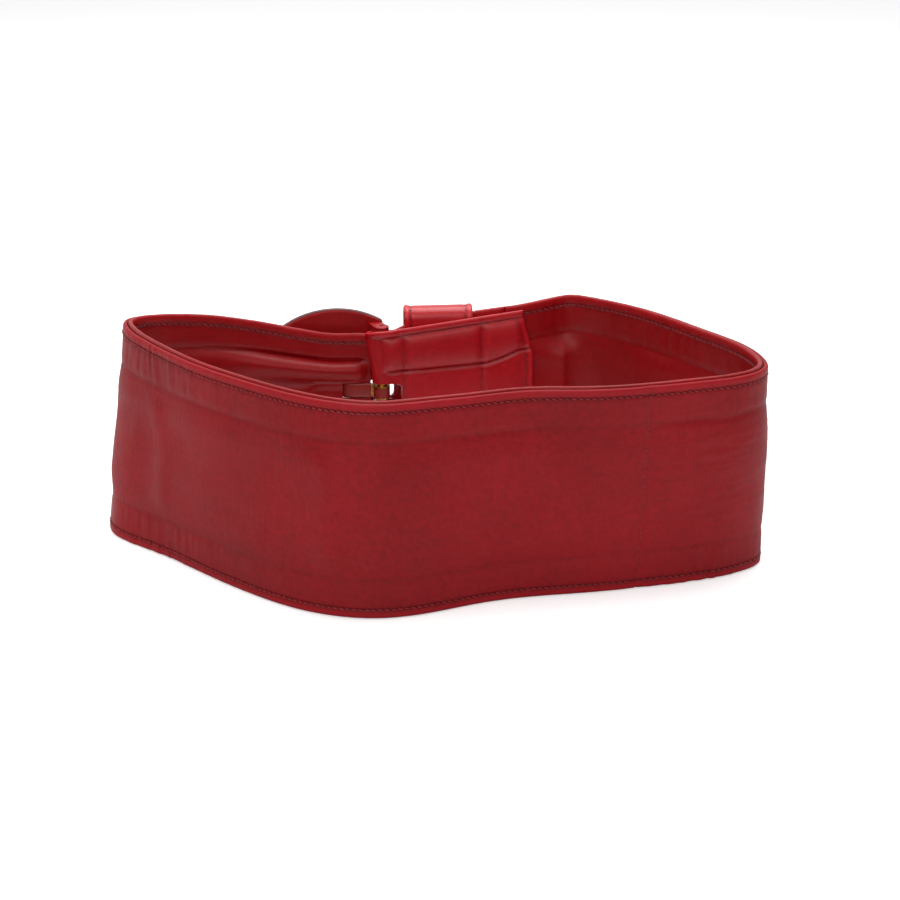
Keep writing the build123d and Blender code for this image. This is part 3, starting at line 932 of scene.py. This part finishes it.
# ---- buckle ---------------------------------------------------------------------------
FRAME_AT_U, FRAME_HALF_U, FRAME_HALF_W, FRAME_EDGE_U = -22.5, 43.0, 40.0, 0.5
OPENING_HALF_U, OPENING_HALF_W = 32.0, 27.7
SHOULDER = [(FRAME_EDGE_U, 29.0), (-4.0, 28.9), (-10.0, OPENING_HALF_W)]
COVER_BACK, COVER_FRONT, COVER_HALF = 9.1, 12.35, 0.5
LUG_END, LUG_CAP_R = 33.7, 3.5


def even(points, count):
    """The line through points with count evenly spaced ones."""
    points = np.asarray(points, float)
    run = run_length(points)
    at = np.linspace(0, run[-1], count)
    return np.stack([np.interp(at, run, points[:, k]) for k in (0, 1)], -1)


def frame_edges(count, grow=0.0):
    """The plate's outer and inner edges in u and w, from the upper lug to the lower one."""
    def ellipse(a, half_u, half_w):
        return np.stack([FRAME_AT_U + half_u * np.cos(a), half_w * np.sin(a)], -1)

    start = math.acos((FRAME_EDGE_U - FRAME_AT_U) / FRAME_HALF_U)
    a = np.linspace(start, 2 * math.pi - start, 200)
    outer = ellipse(a, FRAME_HALF_U + grow, FRAME_HALF_W + grow)
    a = np.linspace(math.pi / 2, 1.5 * math.pi, 120)
    round_end = ellipse(a, OPENING_HALF_U - grow, OPENING_HALF_W - grow)
    upper = np.array(SHOULDER) - (0, grow)
    inner = np.concatenate([upper, round_end, upper[::-1] * (1, -1)])
    return even(outer, count), even(inner, count)


def buckle_covers():
    """The leather on the plate's front and back."""
    outer, inner = frame_edges(150, 0.25)
    share = np.concatenate([[0, 0.02, 0.06, 0.11], np.linspace(0.17, 0.83, 12), [0.89, 0.94, 0.98, 1]])
    dome = np.sqrt(np.clip(4 * share * (1 - share), 0, 1))
    at = outer[:, None, :] * (1 - share)[None, :, None] + inner[:, None, :] * share[None, :, None]
    half = COVER_HALF * rim(share, 0.1)[None, :] * np.ones((len(outer), 1))
    half[[0, -1]] *= 0.5
    # Painted shade along the front cover's two stitch channels.
    channel = hill(np.minimum(share, 1 - share), 0.16, 0.03)
    for name, v, shade, node in (
        ("buckle_front_leather", COVER_FRONT + 0.28 * dome, 0.3 * channel, "buckle_front_cover"),
        ("buckle_back_leather", COVER_BACK + 0 * dome, 0 * share, "buckle_back_cover"),
    ):
        grid = closure(at[..., 0], v[None, :] + 0 * at[..., 0], at[..., 1])
        flat = np.stack([at[..., 0], at[..., 1], 0 * at[..., 0]], -1)
        piece = shell(name, grid, half, COVER, "buckle", flat, shade[None, :])
        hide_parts(node)


def buckle_edge():
    outer, inner = frame_edges(260, 0.3)
    outline = np.concatenate([outer, inner[::-1], outer[:1]])
    v = np.linspace(COVER_BACK + 0.25, COVER_FRONT, 7)
    grid = closure(outline[:, None, 0], v[None, :], outline[:, None, 1])
    shell("buckle_edge_paint", grid, 0.22, PAINT, "buckle")


def buckle_stitches():
    outer, inner = frame_edges(70)
    middles, heads = [], []
    for line in (outer * 0.84 + inner * 0.16, outer * 0.16 + inner * 0.84):
        line = even(line, int(len(line) * 0.9))
        step = np.gradient(line, axis=0)
        middles.append(closure(line[:, 0], COVER_FRONT + 0.63, line[:, 1]))
        heads.append(closure_way(step[:, 0], 0, step[:, 1]))
    middles, heads = np.concatenate(middles), np.concatenate(heads)
    outs = np.tile(closure_way(0, 1, 0), (len(middles), 1))
    thread("buckle_stitches", middles, heads, outs, "buckle", 2.2, 0.26)


def buckle():
    """The leather-covered plate on its bar."""
    buckle_covers()
    buckle_edge()
    buckle_stitches()
    repaint("buckle_frame_core", COVER)
    lug_caps()
    repaint("buckle_bar", BRASS)


def lug_caps():
    """Low leather-coloured domes over the bar's two ends."""
    rise = np.linspace(0, 1, 7)[:, None]
    a = np.linspace(0, 2 * math.pi, 33)[None, :]
    radius = LUG_CAP_R * np.sqrt(1 - (0.96 * rise) ** 2)
    for name, side in (("upper", 1), ("lower", -1)):
        w = side * (LUG_END + 0.18 + 0.7 * rise) + 0 * a
        grid = closure(radius * np.cos(a), radius * np.sin(a), w)
        shell(f"lug_cap_{name}", grid, 0.17, COVER, "buckle")


# ---- prong ----------------------------------------------------------------------------
PRONG_EYE, PRONG_REST = 3.15, 14.65
PRONG_RISE, PRONG_RUN, PRONG_TIP = -11.0, 25.0, -63.0
SHEATH_START = -5.5
SHEATH_HALF_W, SHEATH_HALF_V = 3.6, 1.05
TIP_ROUNDING = [(0.5, 0.93), (1.0, 0.75), (1.35, 0.5), (1.5, 0.15)]  # reach and size
EYE_WRAP_R, EYE_WRAP_HALF = 4.12, 2.5


def prong_line():
    """The prong's centre line in u and v, root to tip, with two tangent arcs."""
    turn = 2 * math.atan((PRONG_REST - PRONG_EYE) / PRONG_RUN)
    radius = PRONG_RUN / (2 * math.sin(turn))
    end = PRONG_RISE - PRONG_RUN
    a = np.linspace(0, turn, 12)
    first = np.stack([PRONG_RISE - radius * np.sin(a), PRONG_EYE + radius * (1 - np.cos(a))], -1)
    a = a[::-1]
    second = np.stack([end + radius * np.sin(a), PRONG_REST - radius * (1 - np.cos(a))], -1)
    root = np.stack([np.linspace(SHEATH_START, PRONG_RISE, 6)[:-1], np.full(5, PRONG_EYE)], -1)
    tip = np.stack([np.linspace(end, PRONG_TIP, 16)[1:], np.full(15, PRONG_REST)], -1)
    return np.concatenate([root, first, second[1:], tip])


def prong():
    """The prong's leather sheath, rounded off at the tip, and the wrap round its eye."""
    line = prong_line()
    tangent = np.gradient(line, axis=0)
    tangent /= np.linalg.norm(tangent, axis=1, keepdims=True)
    reach, tip_size = np.array(TIP_ROUNDING).T
    size = np.concatenate([np.ones(len(line)), tip_size])
    line = np.concatenate([line, np.stack([PRONG_TIP - reach, 0 * reach + PRONG_REST], -1)])
    tangent = np.concatenate([tangent, np.tile(tangent[-1], (len(reach), 1))])
    a = np.linspace(0, 2 * math.pi, 33)
    w = SHEATH_HALF_W * np.sign(np.cos(a)) * np.abs(np.cos(a)) ** 0.45
    v = SHEATH_HALF_V * np.sign(np.sin(a)) * np.abs(np.sin(a)) ** 0.6
    across = np.stack([tangent[:, 1], -tangent[:, 0]], -1)
    u_at = line[:, 0, None] + across[:, 0, None] * v[None, :] * size[:, None]
    v_at = line[:, 1, None] + across[:, 1, None] * v[None, :] * size[:, None]
    grid = closure(u_at, v_at, w[None, :] * size[:, None])
    flat = np.stack([u_at, w[None, :] + 0 * u_at, 0 * u_at], -1)
    piece = shell("prong_leather", grid, 0.3, PRONG, "prong", flat)
    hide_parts("prong_cover")
    a = np.radians(np.linspace(185, 330, 24))[:, None]
    w = np.linspace(-EYE_WRAP_HALF, EYE_WRAP_HALF, 9)[None, :]
    grid = closure(EYE_WRAP_R * np.cos(a) + 0 * w, EYE_WRAP_R * np.sin(a) + 0 * w, w + 0 * a)
    shell("prong_eye_wrap", grid, 0.22, PRONG, "prong")
    repaint("prong_core", BRASS)


# ---- tongue ---------------------------------------------------------------------------
TONGUE_TIP, TONGUE_HALF, TONGUE_SHOULDER = 62.0, 28.0, 28.6
TIP_RISE = 17  # how far the tip's arc stands out from the strap's straight edges
TONGUE_BEVEL, TONGUE_STITCH_INSET = 0.28, 3.2
TONGUE_LAYERS = {"outer": (7.25, 8.2), "lining": (5.4, 6.35)}
HOLE_PITCH, HOLE_LENGTH, HOLE_HEIGHT = 20.75, 12.4, 10.0


def rounded_slot(middle):
    """A hole's outline in u and w, with softly rounded corners."""
    half_u, half_w = HOLE_LENGTH / 2, HOLE_HEIGHT / 2
    a = np.linspace(0, 2 * math.pi, 41)[:-1]
    u = half_u * np.sign(np.cos(a)) * np.abs(np.cos(a)) ** 0.5
    w = half_w * np.sign(np.sin(a)) * np.abs(np.sin(a)) ** 0.5
    return np.stack([middle + u, w], -1)


def tongue_outline():
    """The strap end's outline in u and w: straight edges and a round tip."""
    radius = (TONGUE_HALF**2 + TIP_RISE**2) / (2 * TIP_RISE)
    spread = math.asin(TONGUE_HALF / radius)
    a = np.linspace(spread, -spread, 40)
    tip = np.stack([TONGUE_TIP - radius + radius * np.cos(a), radius * np.sin(a)], -1)
    upper = [(TONGUE_START + 0.2, TONGUE_SHOULDER), (-20, 28.2), (-6, TONGUE_HALF)]
    lower = [(u, -w) for u, w in reversed(upper)]
    return np.concatenate([upper, tip, lower])


def tongue_plate(name, v_low, v_high, mat, node):
    """A flat plate with rounded edges, from a filled curve with the holes cut out."""
    curve = bpy.data.curves.new(name, "CURVE")
    curve.dimensions, curve.fill_mode = "2D", "BOTH"
    curve.extrude = ((v_high - v_low) / 2 - TONGUE_BEVEL) * MM
    curve.bevel_depth, curve.bevel_resolution = TONGUE_BEVEL * MM, 3
    curve.offset = -TONGUE_BEVEL * MM
    rings = [tongue_outline()] + [rounded_slot(k * HOLE_PITCH) for k in range(-1, 3)]
    for ring in rings:
        line = curve.splines.new("POLY")
        line.points.add(len(ring) - 1)
        flat = np.column_stack([ring * MM, np.zeros(len(ring)), np.ones(len(ring))])
        line.points.foreach_set("co", flat.ravel())
        line.use_cyclic_u = True
    drawn = bpy.data.objects.new(name, curve)
    mesh = bpy.data.meshes.new_from_object(drawn)
    bpy.data.objects.remove(drawn)
    co = np.zeros(len(mesh.vertices) * 3)
    mesh.vertices.foreach_get("co", co)
    co = co.reshape(-1, 3) / MM
    verts = closure(co[:, 0], (v_low + v_high) / 2 - co[:, 2], co[:, 1])
    faces = [tuple(p.vertices) for p in mesh.polygons]
    layers = [("flat", "FLOAT_VECTOR", co)]
    piece = make_object(name, verts, faces, mat, "belt", layers)
    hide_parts(node)


def tongue_stitches():
    """A row inside the outline, and one across the end that is sewn to the band."""
    line = tongue_outline()
    line[:, 1] *= (TONGUE_HALF - TONGUE_STITCH_INSET) / TONGUE_HALF
    line[:, 0] -= TONGUE_STITCH_INSET * ease(40, 60, line[:, 0])
    line = even(line, 74)[1:-1]
    w = np.arange(-25, 26, 3.2)
    across = np.stack([np.full(len(w), TONGUE_START + 2.6), w], -1)
    at = np.concatenate([line, across])
    step = np.concatenate([np.gradient(line, axis=0), np.tile([0.0, 1.0], (len(w), 1))])
    middles = closure(at[:, 0], TONGUE_LAYERS["outer"][1] + 0.02, at[:, 1])
    heads = closure_way(step[:, 0], 0, step[:, 1])
    outs = np.tile(closure_way(0, 1, 0), (len(at), 1))
    thread("tongue_stitches", middles, heads, outs, "belt", 2.4, 0.28)


def tongue():
    """The strap end: two leathers with holes, over the CAD's stiffener."""
    for side, mat in (("outer", OUTER), ("lining", LINING)):
        low, high = TONGUE_LAYERS[side]
        tongue_plate(f"tongue_{side}_leather", low, high, mat, f"tongue_{side}")
    repaint("tongue_stiffener", PAINT)
    repaint("chape_stiffener", BOARD)
    tongue_stitches()


# ---- stage ----------------------------------------------------------------------------
FLOOR_REACH, FLOOR_GLOW = 6, 0.42
WORLD_LIGHT = 0.36
LIGHTS_AIM = (0, 0, 0.05)


def white_floor():
    """A white floor that also glows a little, but only towards the camera."""
    mesh = bpy.data.meshes.new("floor")
    corners = [(x * FLOOR_REACH, y * FLOOR_REACH, -0.0002) for x, y in ((-1, -1), (1, -1), (1, 1), (-1, 1))]
    mesh.from_pydata(corners, [], [(0, 1, 2, 3)])
    floor = bpy.data.objects.new("floor", mesh)
    bpy.context.scene.collection.objects.link(floor)
    n = Nodes(bpy.data.materials.new("floor"))
    seen = n.add("ShaderNodeLightPath").outputs["Is Camera Ray"]
    strength = n.maths("MULTIPLY", seen, FLOOR_GLOW)
    glow = n.add("ShaderNodeEmission", {"Color": (1, 1, 1, 1), "Strength": strength})
    both = n.add("ShaderNodeAddShader", {0: n.shader.outputs[0], 1: glow.outputs[0]})
    n.feed(n.tree.nodes["Material Output"], {"Surface": both.outputs[0]})
    grey = (0.86, 0.86, 0.86, 1)
    mesh.materials.append(n.finish(Base_Color=grey, Roughness=0.9, Specular_IOR_Level=0.1))


def white_world():
    """White to the camera, dimmer as light, and brighter behind the belt for reflections."""
    world = bpy.data.worlds.new("world")
    bpy.context.scene.world = world
    n = Nodes(world, "Background")
    rays = n.add("ShaderNodeLightPath").outputs
    seen = n.maths("MAXIMUM", rays["Is Camera Ray"], rays["Is Transmission Ray"])
    level = n.span(seen, 0.0, 1.0, WORLD_LIGHT)
    side = n.add("ShaderNodeSeparateXYZ", {0: n.coords["Generated"]}).outputs["Y"]
    glossy = n.maths("MULTIPLY", rays["Is Glossy Ray"], n.span(side, -0.2, 0.4, 0.25, 1.0))
    n.finish(Color=(1, 1, 1, 1), Strength=n.maths("MAXIMUM", level, glossy))


def softbox(name, at, size, power):
    """A rectangular lamp, aimed at the belt."""
    lamp = bpy.data.lights.new(name, "AREA")
    lamp.shape, lamp.size, lamp.size_y, lamp.energy = "RECTANGLE", size[0], size[1], power
    obj = bpy.data.objects.new(name, lamp)
    bpy.context.scene.collection.objects.link(obj)
    obj.location = at
    direction = np.array(LIGHTS_AIM, float) - np.array(at, float)
    length = np.linalg.norm(direction)
    pitch = math.acos(-direction[2] / length)
    obj.rotation_euler = (pitch, 0, math.atan2(direction[1], direction[0]) - math.pi / 2)


def stage():
    white_floor()
    white_world()
    softbox("overhead", (0.0, 0.25, 1.3), (1.4, 1.1), 21)
    softbox("front", (-0.4, -1.6, 1.0), (1.6, 1.0), 9.5)
    bpy.context.scene.view_settings.view_transform = "Standard"


band()
core()
upright_seam()
chape()
keeper()
buckle()
prong()
tongue()
stage()
